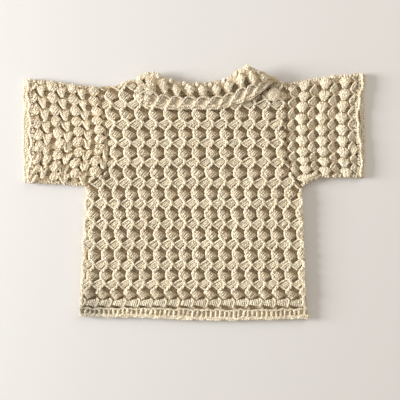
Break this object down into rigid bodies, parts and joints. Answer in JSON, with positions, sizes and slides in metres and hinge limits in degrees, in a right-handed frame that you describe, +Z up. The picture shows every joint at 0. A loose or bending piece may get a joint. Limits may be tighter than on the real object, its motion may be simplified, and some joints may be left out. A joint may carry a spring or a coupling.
{
  "type": "child's short-sleeved crochet top",
  "caption": "A child's open-work crochet top in cream cotton yarn, with short sleeves, a folded collar band and a ladder-stitch hem, laid flat on its back.",
  "frame": {"origin": "the middle of the garment's bounding box, on the surface that it lies on", "axes": "+X runs along the sleeves, to the right as seen from above with the collar at the top; +Y runs from the hem to the collar; +Z is up from the surface"},
  "size_m": [0.4356, 0.3217, 0.0231],
  "materials": {
    "cotton": "matte cream cotton yarn, crocheted in open-work blocks",
    "cotton_shaded": "matte cream cotton yarn, the layer that lies underneath",
    "cotton_edging": "matte cream cotton yarn, the closer stitches of the collar, cuffs and hem"
  },
  "bodies": {
    "root": {"body_back": "cotton_shaded", "body_front": "cotton", "collar_back": "cotton_shaded", "collar_front": "cotton_edging", "cuff_left_back": "cotton_shaded", "cuff_left_front": "cotton_edging", "cuff_right_back": "cotton_shaded", "cuff_right_front": "cotton_edging", "hem_back": "cotton_shaded", "hem_front": "cotton_edging", "sleeve_left_back": "cotton_shaded", "sleeve_left_front": "cotton", "sleeve_right_back": "cotton_shaded", "sleeve_right_front": "cotton"}
  },
  "joints": []
}
